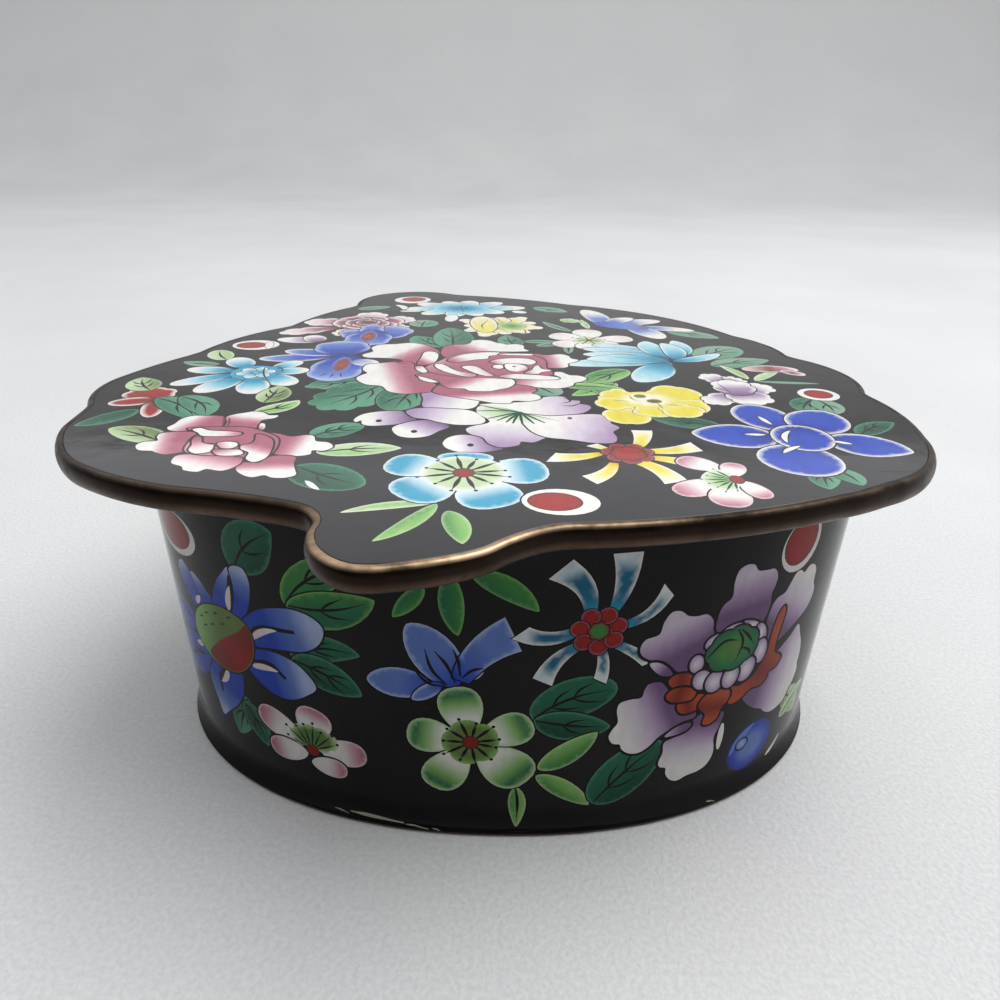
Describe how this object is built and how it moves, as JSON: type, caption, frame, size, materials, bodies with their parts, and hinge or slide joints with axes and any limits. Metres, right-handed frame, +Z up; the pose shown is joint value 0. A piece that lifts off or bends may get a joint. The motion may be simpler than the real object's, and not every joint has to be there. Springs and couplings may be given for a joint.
{
  "type": "enamel trinket box",
  "caption": "Painted enamel trinket box: a rounded, slightly tapering body with a flat leaf-edged lid that lifts off.",
  "frame": {"origin": "middle of the closed box's outline, on the surface it stands on", "axes": "+Z up out of the lid, +Y to the back, +X to the right"},
  "size_m": [0.1146, 0.1265, 0.05],
  "materials": {
    "enamel": "glossy black vitreous enamel painted with flowers",
    "copper": "dark worn copper"
  },
  "bodies": {
    "root": {"box_body": "enamel", "lid": "enamel"}
  },
  "joints": []
}
